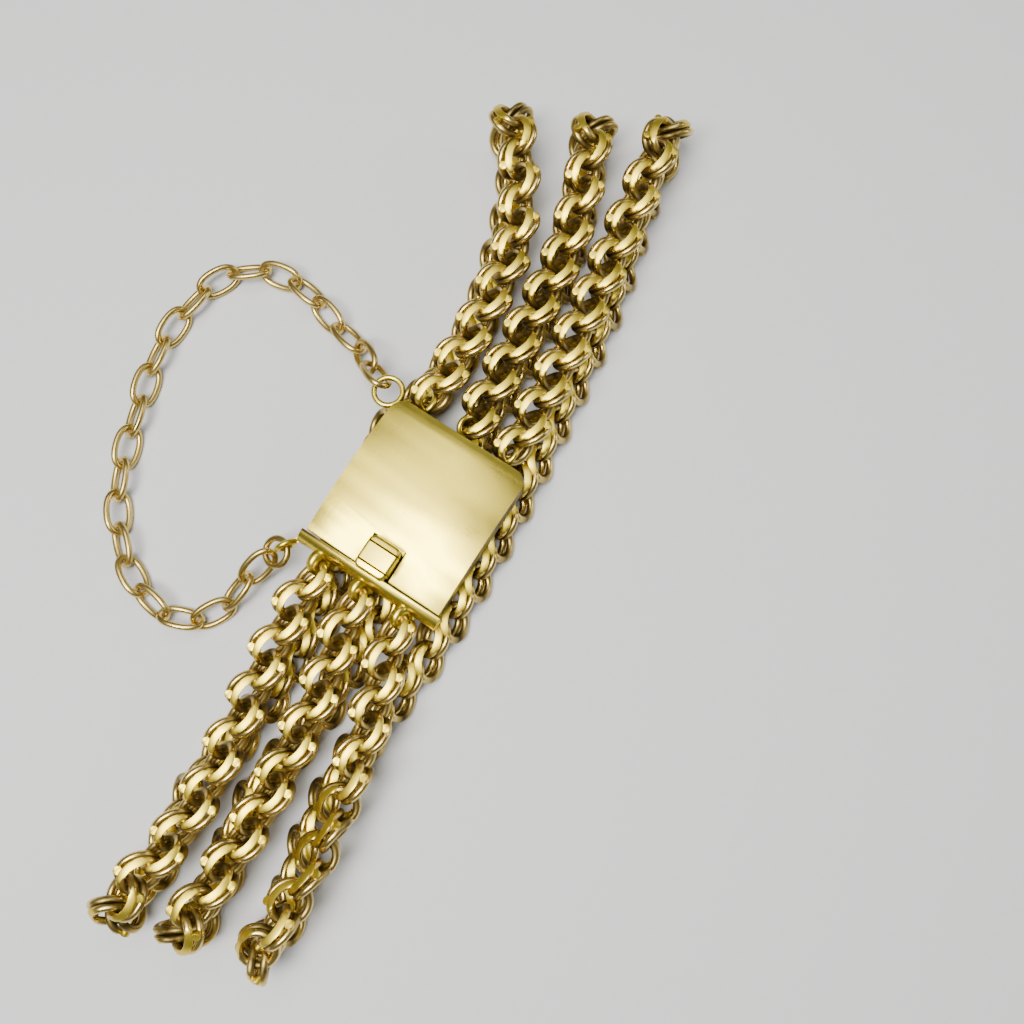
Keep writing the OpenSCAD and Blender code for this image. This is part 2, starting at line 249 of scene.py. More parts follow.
def strand_frames(path, count, style):
    """Place of each link of a strand as a 4x4 in millimetres: X is its long side, Z its axis."""
    curve = Curve(path, LOW_Z)
    spots = link_lengths(path, curve, count)
    places = []
    for n, u in enumerate(spots):
        a, b = curve.at(u - STRAND_REACH)[0], curve.at(u + STRAND_REACH)[0]
        c, heading = curve.at(u)
        along = (b - a).normalized()
        h = math.radians(heading)
        flat = Vector((math.sin(h), -math.cos(h), 0))
        side = (flat - flat.dot(along) * along).normalized()
        out = along.cross(side)
        bend = 0.0 if n in (0, count - 1) else (2 * c - a - b).dot(out) / STRAND_REACH**2
        before, after = max(n - 1, 0), min(n + 1, count - 1)
        gap = (spots[after] - spots[before]) / (after - before)
        lean = style.lean * along.x + math.radians(extra_roll(path, c, along))
        side, out = (
            side * math.cos(lean) + out * math.sin(lean),
            out * math.cos(lean) - side * math.sin(lean),
        )
        calm = 1 - min(1, abs(bend) / FULL_BEND)
        yaw = math.radians(mix(YAW_BY_GAP, gap) * calm)
        dip = style.dip * calm + math.radians((FOLD_DIP - FOLD_DIP_FALL * bend) * (1 - calm))
        # links lie rolled to one side and the other in turn
        sign = 1 if n % 2 == 1 else -1
        x_axis = (along * math.cos(yaw) - side * math.sin(yaw)) * sign
        across = -side * math.cos(yaw) - along * math.sin(yaw)
        y_axis = (across * math.cos(dip) * sign + out * math.sin(dip)).normalized()
        z_axis = x_axis.cross(y_axis).normalized()
        y_axis = z_axis.cross(x_axis).normalized()
        shift = FOLD_SHIFT * bend * (1 - calm) + style.spread * calm
        places.append(placed((x_axis.normalized(), y_axis, z_axis), in_frame(c - side * sign * shift)))
    return places


def safety_frames(count):
    """Place of each oval link of the safety chain, tipped to one side and the other in turn."""
    curve = Curve(SAFETY_PATH, SAFETY_LOW_Z)
    places = []
    for n in range(count):
        u = curve.total * n / (count - 1)
        along = (curve.at(u + SAFETY_REACH)[0] - curve.at(u - SAFETY_REACH)[0]).normalized()
        side = Vector((0, 0, 1)).cross(along).normalized()
        up = along.cross(side)
        tip = math.radians(SAFETY_TIP if n % 2 == 0 else -SAFETY_TIP)
        across = side * math.cos(tip) + up * math.sin(tip)
        places.append(placed((along, across, along.cross(across)), in_frame(curve.at(u)[0])))
    return places


# Materials

# Size and detail of the cloudy noise, how much of it is added to the tarnish and painted shade, and the sum at which
# that starts to show
CLOUD_SCALE, CLOUD_DETAIL, CLOUD_SHARE, DARKENING_START = 420, 5, 0.5, 0.46
# Brightness of the dullest and the brightest link
LINK_DULL, LINK_BRIGHT = 0.86, 1.1
# Share of a gold's roughness in the smoothest and the roughest cloud, and what the tarnish and painted shade and
# planing add to it
ROUGH_LEAST, ROUGH_MOST, ROUGH_DARKENED, ROUGH_PLANED = 0.75, 1.35, 0.25, 0.14
# Turn in radians and length for its width of each set of scratches, with their detail and their depth in metres
SCRATCHES = ((0.35, 26), (1.2, 18))
FINE_DETAIL, SCRATCH_DEPTH = 3, 0.00003
# The floor's grain: its size, how much darker it gets, and its roughness
GRAIN_SCALE, GRAIN_DARK, FLOOR_ROUGH = 900, 0.96, 0.75

BLACK, WHITE = (0, 0, 0), (1, 1, 1)


def node(tree, kind, x, y, inputs=None, **settings):
    """A new node with its settings; each input gets a value, or a link where it is given a node's output."""
    n = tree.nodes.new(kind)
    n.location = (x, y)
    for key, value in settings.items():
        setattr(n, key, value)
    for key, value in (inputs or {}).items():
        if isinstance(value, bpy.types.NodeSocket):
            tree.links.new(value, n.inputs[key])
        else:
            n.inputs[key].default_value = value
    return n


def ramp(tree, x, y, value, *stops):
    """Colour output of a ramp with two stops, each a position and a colour."""
    n = node(tree, "ShaderNodeValToRGB", x, y, {"Fac": value})
    for element, (position, colour) in zip(n.color_ramp.elements, stops):
        element.position = position
        element.color = (*colour, 1)
    return n.outputs["Color"]


def multiply_add(tree, x, y, value, factor, addend):
    """Output of value times factor plus addend."""
    return node(tree, "ShaderNodeMath", x, y, {0: value, 1: factor, 2: addend}, operation="MULTIPLY_ADD").outputs[0]


def blended(tree, x, y, share, first, second):
    """Colour output between two colours."""
    # a Mix node's sockets by index: 0 is the share, 6 and 7 the two colours, and 2 the colour that comes out
    return node(tree, "ShaderNodeMix", x, y, {0: share, 6: first, 7: second}, data_type="RGBA").outputs[2]


def between(tree, x, y, value, low, high):
    """Output of a value from 0 to 1, moved to the range from low to high."""
    return node(tree, "ShaderNodeMapRange", x, y, {"Value": value, "To Min": low, "To Max": high}).outputs["Result"]


def attribute(tree, x, y, key):
    """Output of the number that a mesh stores for each point."""
    return node(tree, "ShaderNodeAttribute", x, y, attribute_name=key).outputs["Fac"]


def gold_material(name, colour, flat, dark, roughness, scale, scratch):
    """Worn gold, painted darker where the attribute for tarnish and painted shade is high, and matt in the colour flat
    where 'planed' is.
    """
    mat = bpy.data.materials.new(name)
    mat.use_nodes = True
    tree = mat.node_tree
    tree.nodes.clear()
    place = node(tree, "ShaderNodeTexCoord", -1000, 0).outputs["Object"]
    shade_and_tarnish = attribute(tree, -700, 300, "shade_and_tarnish")
    planed = attribute(tree, -700, 500, "planed")
    tint = attribute(tree, -700, 120, "link_tint")
    cloud_inputs = {"Vector": place, "Scale": CLOUD_SCALE, "Detail": CLOUD_DETAIL}
    cloud = node(tree, "ShaderNodeTexNoise", -700, -80, cloud_inputs).outputs["Fac"]
    # painted shade in hollows, seams, grooves and on the case's walls, with tarnish, broken up by a cloudy noise
    darkening_sum = multiply_add(tree, -420, 250, cloud, CLOUD_SHARE, shade_and_tarnish)
    darkened = ramp(tree, -200, 250, darkening_sum, (DARKENING_START, BLACK), (1.0, WHITE))
    # the planed faces take the colour flat; the chain's is brighter, a painted highlight on them
    bare = blended(tree, -200, 480, planed, (*colour, 1), (*flat, 1))
    blend = blended(tree, 100, 200, darkened, bare, (*dark, 1))
    # each link is a little brighter or duller than the next
    bright = between(tree, 100, 420, tint, LINK_DULL, LINK_BRIGHT)
    vary = node(tree, "ShaderNodeHueSaturation", 330, 200, {"Value": bright, "Color": blend})
    # satin, rougher in the tarnish and painted shade and on the planed faces
    satin = between(tree, 100, -60, cloud, roughness * ROUGH_LEAST, roughness * ROUGH_MOST)
    rough = multiply_add(tree, 330, -60, darkened, ROUGH_DARKENED, satin)
    rough = multiply_add(tree, 330, -220, planed, ROUGH_PLANED, rough)
    # fine scratches in two directions
    normal = None
    for i, (turn, stretch) in enumerate(SCRATCHES):
        turned_inputs = {"Vector": place, "Rotation": (0, 0, turn), "Scale": (scale / stretch, scale, scale / 3)}
        turned = node(tree, "ShaderNodeMapping", -820, -400 - 300 * i, turned_inputs)
        fine_inputs = {"Vector": turned.outputs["Vector"], "Scale": 1.0, "Detail": FINE_DETAIL}
        fine = node(tree, "ShaderNodeTexNoise", -600, -400 - 300 * i, fine_inputs)
        bump_inputs = {"Height": fine.outputs["Fac"], "Strength": scratch, "Distance": SCRATCH_DEPTH}
        if normal is not None:
            bump_inputs["Normal"] = normal
        normal = node(tree, "ShaderNodeBump", -200 + 200 * i, -400, bump_inputs).outputs["Normal"]
    metal = {"Metallic": 1.0, "Base Color": vary.outputs["Color"], "Roughness": rough, "Normal": normal}
    shader = node(tree, "ShaderNodeBsdfPrincipled", 600, 0, metal)
    node(tree, "ShaderNodeOutputMaterial", 900, 0, {"Surface": shader.outputs["BSDF"]})
    return mat


def floor_material(name, colour):
    """Matt and plain, with a faint grain."""
    mat = bpy.data.materials.new(name)
    mat.use_nodes = True
    tree = mat.node_tree
    shader = tree.nodes["Principled BSDF"]
    shader.inputs["Roughness"].default_value = FLOOR_ROUGH
    place = node(tree, "ShaderNodeTexCoord", -900, 0).outputs["Object"]
    grain = node(tree, "ShaderNodeTexNoise", -650, 0, {"Vector": place, "Scale": GRAIN_SCALE, "Detail": FINE_DETAIL})
    dark = [c * GRAIN_DARK for c in colour]
    tree.links.new(ramp(tree, -400, 0, grain.outputs["Fac"], (0.0, dark), (1.0, colour)), shader.inputs["Base Color"])
    return mat


# Meshes

# Faces along and round the wire of a double ring, of a plain ring, of an oval link and of a strand's eye
LINK_SEGMENTS, LINK_SIDES = 42, 14
RING_SEGMENTS, RING_SIDES = 36, 12
OVAL_SEGMENTS = 28
EYE_SEGMENTS, EYE_SIDES = 32, 14
# Power that squares an oval's outline, and how much darker it is painted: share, most, at what distance from the
# middle, fall for each mm
OVAL_POWER = 0.86
OVAL_DARKENING, OVAL_DARKEST, OVAL_DARK_AT, OVAL_FADE = 0.5, 0.75, 1.2, 0.2
# Share of the wire above the plane that is filed off, which leaves a low dome, and the rim beside it that is planed too
FILED, PLANED_RIM = 0.9, 0.02
# Painted shade at a link's middle plane, more in the groove between its rings, and half the groove's width
SHADE_DEEP, SHADE_GROOVE, GROOVE_HALF = 0.7, 0.36, 0.22
# Solder post: how far inside its ring's plane and under the planed face it stands, and its faces round
POST_INSET, POST_SUNK, POST_SIDES = 0.24, 0.14, 12
# Its outline from the top down: share of its radius, and height
POST_OUTLINE = ((0.8, 0.08), (0.9, 0.08), (1.0, 0.0), (1.0, -0.12), (0.97, -0.3), (0.8, -0.5), (0.5, -0.7))

# Thumb piece: its middle, top and foot, and the underside of the lip that overhangs the bar from LIP_X off its middle
THUMB_X, THUMB_TOP, THUMB_FOOT, LIP_Z, LIP_X = -6.31, 8.34, 5.9, 7.24, -1.1
THUMB_HALF_L, THUMB_HALF_W, THUMB_CORNER, THUMB_EDGE = 1.69, 1.6, 0.6, 0.2
# Fall of its top towards its sides and towards its ends, and half the length that stays flat
SIDE_FALL, END_FALL, FLAT_HALF = 0.05, 0.16, 0.75
# Its grip grooves from its middle, with their half width, depth and painted shade, and the painted shade under the
# piece
GRIPS, GRIP_HALF_W, GRIP_DEPTH, GRIP_PAINTED_SHADE, UNDER_PAINTED_SHADE = (0.99, -0.91), 0.1, 0.2, 0.9, 0.5

# Side outlines in X and Z of the spring leaf and of its neck through the mouth, and half their widths
LEAF, LEAF_HALF_W = [(5.4, 5.12), (-4.2, 5.65), (-4.2, 6.0), (5.4, 5.52)], 4.5
NECK, NECK_HALF_W = [(-4, 5.65), (-7.4, 5.7), (-7.4, 6.0), (-4, 6.0)], 1.525

# Strand eyes on the end bar: radius, wire radius, x and tilt in degrees, and how they lie seen from the strands'
# middles: spread and shift across, and fall from one eye to the next
EYE_R, EYE_WIRE_R, EYE_X, EYE_TILT = 0.74, 0.56, -9.5, 49
EYE_SPREAD, EYE_SHIFT, EYE_FALL = 0.05, 0.1, 0.11

# Rounding of the case's and the bar's edges
CASE_EDGE, BAR_EDGE = 0.15, 0.1
# Painted shade on the case's walls, where the normal's Z is under WALL_Z, and on the bar beyond SEAM_X in metres, and
# tarnish on the ring
WALL_PAINTED_SHADE, WALL_Z = 0.68, 0.5
SEAM_PAINTED_SHADE, SEAM_X = 0.9, -0.0084
RING_TARNISH = 0.3

# Angles in degrees past which an edge stays sharp, or is rounded on a copied solid, and up to which faces are one
LINK_SHARP, THUMB_SHARP, ROUNDED_FROM, FLAT_WITHIN = 31, 35, 35, 1
# Distance in metres within which points of a copied solid are merged
MERGED_WITHIN = 1e-7


def mesh_object(name, points, faces, attributes=None, smooth=True):
    """An object in metres from points in millimetres, with a number for each point in each attribute."""
    mesh = bpy.data.meshes.new(name)
    mesh.from_pydata([Vector(p) * MM for p in points], [], faces)
    mesh.update()
    for key, values in (attributes or {}).items():
        mark(mesh, key, values)
    if smooth:
        mesh.shade_smooth()
    obj = bpy.data.objects.new(name, mesh)
    bpy.context.scene.collection.objects.link(obj)
    return obj


def mark(mesh, key, values):
    """Stores a number for each point of a mesh."""
    mesh.attributes.new(key, "FLOAT", "POINT").data.foreach_set("value", values)


def joined(parts):
    """The points and faces of several meshes as one."""
    points, faces = [], []
    for p, f in parts:
        faces += [tuple(i + len(points) for i in face) for face in f]
        points += p
    return points, faces


def wire_loop(centres, normals, wire, sides):
    """A closed tube round a loop of points; normals has each point's two directions, out of the loop and up."""
    points, faces = [], []
    for c, (outward, up) in zip(centres, normals):
        for k in range(sides):
            a = 2 * math.pi * k / sides
            points.append(c + outward * (wire * math.cos(a)) + up * (wire * math.sin(a)))
    count = len(centres)
    for i in range(count):
        this, other = i * sides, (i + 1) % count * sides
        for k in range(sides):
            n = (k + 1) % sides
            faces.append((this + k, this + n, other + n, other + k))
    return points, faces


def ring_mesh(radius, wire, segments=RING_SEGMENTS, sides=RING_SIDES, height=lambda x: 0.0):
    """A round ring about Z; height gives the wire's z from its x."""
    centres, normals = [], []
    for i in range(segments):
        a = 2 * math.pi * i / segments
        x, y = radius * math.cos(a), radius * math.sin(a)
        centres.append(Vector((x, y, height(x))))
        normals.append((Vector((math.cos(a), math.sin(a), 0)), Vector((0, 0, 1))))
    return wire_loop(centres, normals, wire, sides)


def post_mesh(c, up, radius):
    """A squat solder post that hangs down from c, with a rounded rim."""
    u = up.orthogonal().normalized()
    v = up.cross(u)
    rings = len(POST_OUTLINE)
    points, faces = [c + up * POST_OUTLINE[0][1]], []
    for wide, rise in POST_OUTLINE:
        for k in range(POST_SIDES):
            a = 2 * math.pi * k / POST_SIDES
            points.append(c + (u * math.cos(a) + v * math.sin(a)) * (radius * wide) + up * rise)
    for k in range(POST_SIDES):
        n = (k + 1) % POST_SIDES
        faces.append((0, 1 + k, 1 + n))
        for i in range(rings - 1):
            this, other = 1 + i * POST_SIDES, 1 + (i + 1) * POST_SIDES
            faces.append((this + k, other + k, other + n, this + n))
    faces.append(tuple(1 + (rings - 1) * POST_SIDES + k for k in range(POST_SIDES - 1, -1, -1)))
    return points, faces


def link_mesh(style):
    """One double ring: two wire rings in a wedge, soldered by two posts, planed on both faces."""
    out = Vector((0, math.sin(style.dip), -math.cos(style.dip)))
    slope = math.tan(style.wedge / 2)

    def planed_height(x):
        return style.plane_h - style.barrel * x * x

    rings = [
        ring_mesh(
            style.ring_r, style.wire_r, LINK_SEGMENTS, LINK_SIDES,
            lambda x, sign=sign: sign * (style.pair / 2 + x * slope))
        for sign in (-1, 1)
    ]
    wire_points = sum(len(points) for points, _ in rings)
    # a post beside the lower end of each planed crescent, filed flush with it
    posts = []
    for sign in (1, -1):
        x, y = style.ring_r * math.cos(style.post_angle), sign * style.ring_r * math.sin(style.post_angle)
        c = Vector((x, y, sign * (style.pair / 2 - POST_INSET + x * slope)))
        up = out * sign
        c += up * (planed_height(x) - POST_SUNK - c.dot(up))
        posts.append(post_mesh(c, up, style.post_r))
    points, faces = joined(rings + posts)
    planed, shade_and_tarnish = [], []
    for i, p in enumerate(points):
        q = p.dot(out)
        over = abs(q) - planed_height(p.x)
        if over > 0:
            points[i] = p - out * (math.copysign(over * FILED, q))
        planed.append(1.0 if over > -PLANED_RIM or i >= wire_points else 0.0)
        # painted shade: darker deep inside the strand and in the groove between the two rings
        depth = 1 - min(1, abs(q) / style.plane_h)
        groove = max(0.0, 1 - abs(p.z) / GROOVE_HALF)
        shade_and_tarnish.append(min(1.0, SHADE_DEEP * depth + SHADE_GROOVE * groove))
    return points, faces, {"planed": planed, "shade_and_tarnish": shade_and_tarnish}


def oval_mesh(length, width, wire):
    """A wire oval with gently bowed long sides, darkest at the middle of them."""
    a, b = length / 2 - wire, width / 2 - wire
    loop = []
    for i in range(OVAL_SEGMENTS):
        t = 2 * math.pi * i / OVAL_SEGMENTS
        x, y = math.cos(t), math.sin(t)
        loop.append(Vector((a * math.copysign(abs(x)**OVAL_POWER, x), b * math.copysign(abs(y)**OVAL_POWER, y), 0)))
    normals = []
    for i in range(OVAL_SEGMENTS):
        t = (loop[(i + 1) % OVAL_SEGMENTS] - loop[i - 1]).normalized()
        normals.append((Vector((t.y, -t.x, 0)), Vector((0, 0, 1))))
    points, faces = wire_loop(loop, normals, wire, RING_SIDES)
    shade_and_tarnish = [max(0.0, OVAL_DARKEST - abs(p.length - OVAL_DARK_AT) * OVAL_FADE) * OVAL_DARKENING for p in points]
    return points, faces, {"shade_and_tarnish": shade_and_tarnish, "planed": [0.0] * len(points)}


def prism(outline, half_width):
    """A closed bar whose section in X and Z is the outline, square across Y."""
    n = len(outline)
    points = [(x, side * half_width, z) for side in (-1, 1) for x, z in outline]
    faces = [tuple(range(n)), tuple(range(2 * n - 1, n - 1, -1))]
    for i in range(n):
        j = (i + 1) % n
        faces.append((i, n + i, n + j, j))
    return points, faces


def grid_lines(half, *others):
    """Places across the thumb piece, close together near its two edges."""
    near = (0.0, 0.03, 0.08, 0.15, 0.26, 0.38, 0.5)
    edges = {round(side * (half - d), 4) for d in near for side in (-1, 1)}
    return sorted(edges | {round(place, 4) for place in others})


def round_corner(x, y):
    """A place in the thumb piece's first quarter, moved inside its round corner, and its way to the edge."""
    inner_x, inner_y = THUMB_HALF_L - THUMB_CORNER, THUMB_HALF_W - THUMB_CORNER
    a, b = x - inner_x, y - inner_y
    if a <= 0 or b <= 0:
        return x, y, min(THUMB_HALF_L - x, THUMB_HALF_W - y)
    a, b = a / THUMB_CORNER, b / THUMB_CORNER
    u, v = a * math.sqrt(1 - b * b / 2), b * math.sqrt(1 - a * a / 2)
    return inner_x + THUMB_CORNER * u, inner_y + THUMB_CORNER * v, THUMB_CORNER * (1 - math.hypot(u, v))


def thumb_mesh():
    """The raised thumb piece: rounded in plan, soft edged, with two grip grooves across it."""
    # rows also lie close together on both sides of the step to the lip and across each groove
    rows = grid_lines(
        THUMB_HALF_L, -0.6, -0.3, 0.0, 0.3, 0.6, LIP_X - 0.01, LIP_X + 0.01,
        *(g + k * GRIP_HALF_W / 2 for g in GRIPS for k in range(-2, 3)))
    cols = grid_lines(THUMB_HALF_W, -0.9, -0.6, -0.3, 0.0, 0.3, 0.6, 0.9)
    upper, lower, dark = [], [], []
    for s in rows:
        cut = max(max(0.0, 1 - abs(s - g) / GRIP_HALF_W) for g in GRIPS)
        for t in cols:
            x, y, inset = round_corner(abs(s), abs(t))
            x, y = math.copysign(x, s), math.copysign(y, t)
            past_flat = max(0, abs(x) - FLAT_HALF) / (THUMB_HALF_L - FLAT_HALF)
            fall = SIDE_FALL * (y / THUMB_HALF_W)**2 + END_FALL * past_flat**2
            if inset < THUMB_EDGE:
                fall += THUMB_EDGE - math.sqrt(max(0.0, THUMB_EDGE**2 - (THUMB_EDGE - max(inset, 0))**2))
            # painted shade in the grip grooves
            dark.append(GRIP_PAINTED_SHADE * cut)
            upper.append((THUMB_X + x, y, THUMB_TOP - fall - GRIP_DEPTH * cut))
            lower.append((THUMB_X + x, y, THUMB_FOOT if s > LIP_X else LIP_Z))
    n, m = len(rows), len(cols)
    faces = []
    for i in range(n - 1):
        for j in range(m - 1):
            k, under = i * m + j, n * m + i * m + j
            faces.append((k, k + m, k + m + 1, k + 1))
            faces.append((under, under + 1, under + m + 1, under + m))
    rim = list(range(m)) + [i * m + m - 1 for i in range(1, n)]
    rim += [(n - 1) * m + j for j in range(m - 2, -1, -1)] + [i * m for i in range(n - 2, 0, -1)]
    for a, b in zip(rim, rim[1:] + rim[:1]):
        faces.append((a, b, n * m + b, n * m + a))
    # painted shade under the piece
    return upper + lower, faces, dark + [UNDER_PAINTED_SHADE] * len(lower)


def settled(points, seat=(0, 0, 0)):
    """Points seen from a seat on the clasp, moved into the solids' frame."""
    return [in_frame(Vector(p) + Vector(seat)) for p in points]


# Geometry Nodes: one link repeated at marked places


def repeat_tree():
    """Puts a link on each vertex, turned by the vertex's 'turn', and stores a fixed tint for each."""
    tree = bpy.data.node_groups.new("Links at places", "GeometryNodeTree")
    for name, kind in (("Geometry", "Geometry"), ("Link", "Object"), ("Gold", "Material")):
        tree.interface.new_socket(name, in_out="INPUT", socket_type="NodeSocket" + kind)
    tree.interface.new_socket("Size", in_out="INPUT", socket_type="NodeSocketFloat").default_value = 1.0
    tree.interface.new_socket("Tint seed", in_out="INPUT", socket_type="NodeSocketInt").default_value = 4
    tree.interface.new_socket("Geometry", in_out="OUTPUT", socket_type="NodeSocketGeometry")
    start = node(tree, "NodeGroupInput", -800, 0).outputs
    link = node(tree, "GeometryNodeObjectInfo", -500, -200, {"Object": start["Link"]})
    turn = node(tree, "GeometryNodeInputNamedAttribute", -500, -450, {"Name": "turn"}, data_type="FLOAT_VECTOR")
    spin = node(tree, "FunctionNodeEulerToRotation", -250, -450, {"Euler": turn.outputs["Attribute"]})
    put = node(tree, "GeometryNodeInstanceOnPoints", -100, 0, {
        "Points": start["Geometry"], "Instance": link.outputs["Geometry"],
        "Rotation": spin.outputs["Rotation"], "Scale": start["Size"],
    })
    tint = node(tree, "FunctionNodeRandomValue", -100, -350, {"Seed": start["Tint seed"]}, data_type="FLOAT")
    store = node(tree, "GeometryNodeStoreNamedAttribute", 150, 0, {
        "Geometry": put.outputs["Instances"], "Name": "link_tint", "Value": tint.outputs["Value"],
    }, data_type="FLOAT", domain="INSTANCE")
    real = node(tree, "GeometryNodeRealizeInstances", 400, 0, {"Geometry": store.outputs["Geometry"]})
    paint = node(tree, "GeometryNodeSetMaterial", 650, 0, {
        "Geometry": real.outputs["Geometry"], "Material": start["Gold"],
    })
    node(tree, "NodeGroupOutput", 900, 0, {"Geometry": paint.outputs["Geometry"]})
    return tree


def repeated(name, link, places, gold, seed):
    """A plain mesh of the link repeated at each place."""
    mesh = bpy.data.meshes.new(name + "_places")
    mesh.from_pydata([m.translation * MM for m in places], [], [])
    turn = mesh.attributes.new("turn", "FLOAT_VECTOR", "POINT")
    turn.data.foreach_set("vector", [x for m in places for x in m.to_euler("XYZ")])
    holder = bpy.data.objects.new(name + "_places", mesh)
    bpy.context.scene.collection.objects.link(holder)
    tree = bpy.data.node_groups.get("Links at places") or repeat_tree()
    mod = holder.modifiers.new("Links", "NODES")
    mod.node_group = tree
    keys = {s.name: s.identifier for s in tree.interface.items_tree if s.in_out == "INPUT"}
    for key, value in (("Link", link), ("Gold", gold), ("Size", 1.0), ("Tint seed", seed)):
        mod[keys[key]] = value
    bpy.context.view_layer.update()
    done = bpy.data.meshes.new_from_object(holder.evaluated_get(bpy.context.evaluated_depsgraph_get()))
    done.name = name
    holder.modifiers.remove(mod)
    bpy.data.objects.remove(holder)
    done.shade_smooth()
    done.set_sharp_from_angle(angle=math.radians(LINK_SHARP))
    obj = bpy.data.objects.new(name, done)
    bpy.context.scene.collection.objects.link(obj)
    return obj


def keep(obj, body, slot, *nodes):
    """Fixes a finished piece to its body, in place of the solids that it stands for; its slot is not used."""
    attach(obj, body)
    if nodes:
        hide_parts(*nodes)


def softened(name, source, edge, segments=3):
    """A merged copy of a solid with rounded edges and no creases."""
    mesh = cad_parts[source].data.copy()
    mesh.name = name
    mesh.materials.clear()
    bm = bmesh.new()
    bm.from_mesh(mesh)
    bmesh.ops.remove_doubles(bm, verts=bm.verts, dist=MERGED_WITHIN)
    bmesh.ops.dissolve_limit(bm, angle_limit=math.radians(FLAT_WITHIN), verts=bm.verts, edges=bm.edges)
    bm.to_mesh(mesh)
    bm.free()
    mesh.shade_smooth()
    obj = bpy.data.objects.new(name, mesh)
    bpy.context.scene.collection.objects.link(obj)
    soft = obj.modifiers.new("Soft edges", "BEVEL")
    soft.width = edge * MM
    soft.segments = segments
    soft.limit_method = "ANGLE"
    soft.angle_limit = math.radians(ROUNDED_FROM)
    soft.harden_normals = True
    done = bpy.data.meshes.new_from_object(obj.evaluated_get(bpy.context.evaluated_depsgraph_get()))
    obj.modifiers.clear()
    obj.data = done
    return obj


# What a user can change


class LinkStyle(bpy.types.PropertyGroup):
    ring_r: FloatProperty(
        name="Ring radius", description="Radius of a ring's wire centre line, in millimetres",
        default=1.66, min=1.4, max=2.0)
    wire_r: FloatProperty(
        name="Wire radius", description="Radius of the ring wire, in millimetres",
        default=0.365, min=0.2, max=0.45)
    pair: FloatProperty(
        name="Pair spacing", description="Distance between the two rings of a link, in millimetres",
        default=0.88, min=0.5, max=1.2)
    wedge: FloatProperty(
        name="Wedge", description="Angle by which the two rings open", subtype="ANGLE",
        default=math.radians(8), min=0, max=math.radians(18))
    dip: FloatProperty(
        name="Roll", description="Roll of a link to its side", subtype="ANGLE",
        default=math.radians(54), min=math.radians(35), max=math.radians(65))
    lean: FloatProperty(
        name="Lean", description="Roll of a whole strand about its length", subtype="ANGLE",
        default=math.radians(2), min=math.radians(-20), max=math.radians(20))
    spread: FloatProperty(
        name="Spread", description="Sideways shift of a link to its own side, in millimetres",
        default=0.34, min=0, max=0.6)
    plane_h: FloatProperty(
        name="Planed height", description="Half the planed thickness of a strand, in millimetres",
        default=1.62, min=1.3, max=2.0)
    barrel: FloatProperty(
        name="Barrel", description="Fall of the planed face towards a link's ends, for each square millimetre along it",
        default=0.14, min=0, max=0.2)
    post_r: FloatProperty(
        name="Post radius", description="Radius of a solder post, in millimetres",
        default=0.41, min=0.3, max=0.6)
    post_angle: FloatProperty(
        name="Post place", description="Place of the post round the ring", subtype="ANGLE",
        default=math.radians(40), min=0, max=math.radians(60))
    links_left: IntProperty(
        name="Left links", description="Links in the left strand", default=72, min=60, max=75)
    links_middle: IntProperty(
        name="Middle links", description="Links in the middle strand", default=73, min=60, max=75)
    links_right: IntProperty(
        name="Right links", description="Links in the right strand", default=74, min=60, max=75)
    safety_links: IntProperty(
        name="Safety links", description="Oval links in the safety chain", default=23, min=18, max=24)


class GoldStyle(bpy.types.PropertyGroup):
    chain_gold: FloatVectorProperty(
        name="Chain gold", description="Colour of the strands",
        subtype="COLOR", size=3, default=(0.73, 0.545, 0.165), min=0, max=1)
    # brighter and yellower than the chain gold: the yellower hue is the planed faces' own, the extra brightness a
    # painted highlight
    planed_highlight_gold: FloatVectorProperty(
        name="Planed gold", description="Colour of the links' planed faces",
        subtype="COLOR", size=3, default=(0.84, 0.63, 0.065), min=0, max=1)
    clasp_gold: FloatVectorProperty(
        name="Clasp gold", description="Colour of the clasp's satin plate",
        subtype="COLOR", size=3, default=(0.88, 0.69, 0.09), min=0, max=1)
    # the dark colour of tarnish and of the painted shade in hollows, seams, grooves and on the case's walls
    shade_and_tarnish: FloatVectorProperty(
        name="Tarnish", description="Colour of the dark tarnish in hollows",
        subtype="COLOR", size=3, default=(0.075, 0.048, 0.012), min=0, max=1)
    floor: FloatVectorProperty(
        name="Floor", description="Colour of the plain floor",
        subtype="COLOR", size=3, default=(0.66, 0.66, 0.65), min=0, max=1)


def chain_gold(style):
    """The gold of the strands and the safety chain, made once."""
    return bpy.data.materials.get("Worn chain gold") or gold_material(
        "Worn chain gold", style.chain_gold, style.planed_highlight_gold, style.shade_and_tarnish,
        roughness=0.24, scale=9000, scratch=0.12)


def clasp_gold(style):
    """The gold of the clasp, made once."""
    return bpy.data.materials.get("Satin clasp gold") or gold_material(
        "Satin clasp gold", style.clasp_gold, style.clasp_gold, style.shade_and_tarnish,
        roughness=0.27, scale=6000, scratch=0.06)


class BRACELET_OT_strands(bpy.types.Operator):
    """Build the three strands of rolled double rings"""

    bl_idname = "bracelet.strands"
    bl_label = "Strands"

    def execute(self, context):
        style = context.scene.bracelet_links
        gold = chain_gold(context.scene.bracelet_gold)
        link = mesh_object("double_ring", *link_mesh(style))
        for name, path, count, seed in (
            ("strand_left", LEFT_PATH, style.links_left, 3),
            ("strand_middle", MIDDLE_PATH, style.links_middle, 5),
            ("strand_right", RIGHT_PATH, style.links_right, 8),
        ):
            strand = repeated(name + "_links", link, strand_frames(path, count, style), gold, seed)
            keep(strand, BODY, "chain_gold", name)
        bpy.data.objects.remove(link)
        return {"FINISHED"}


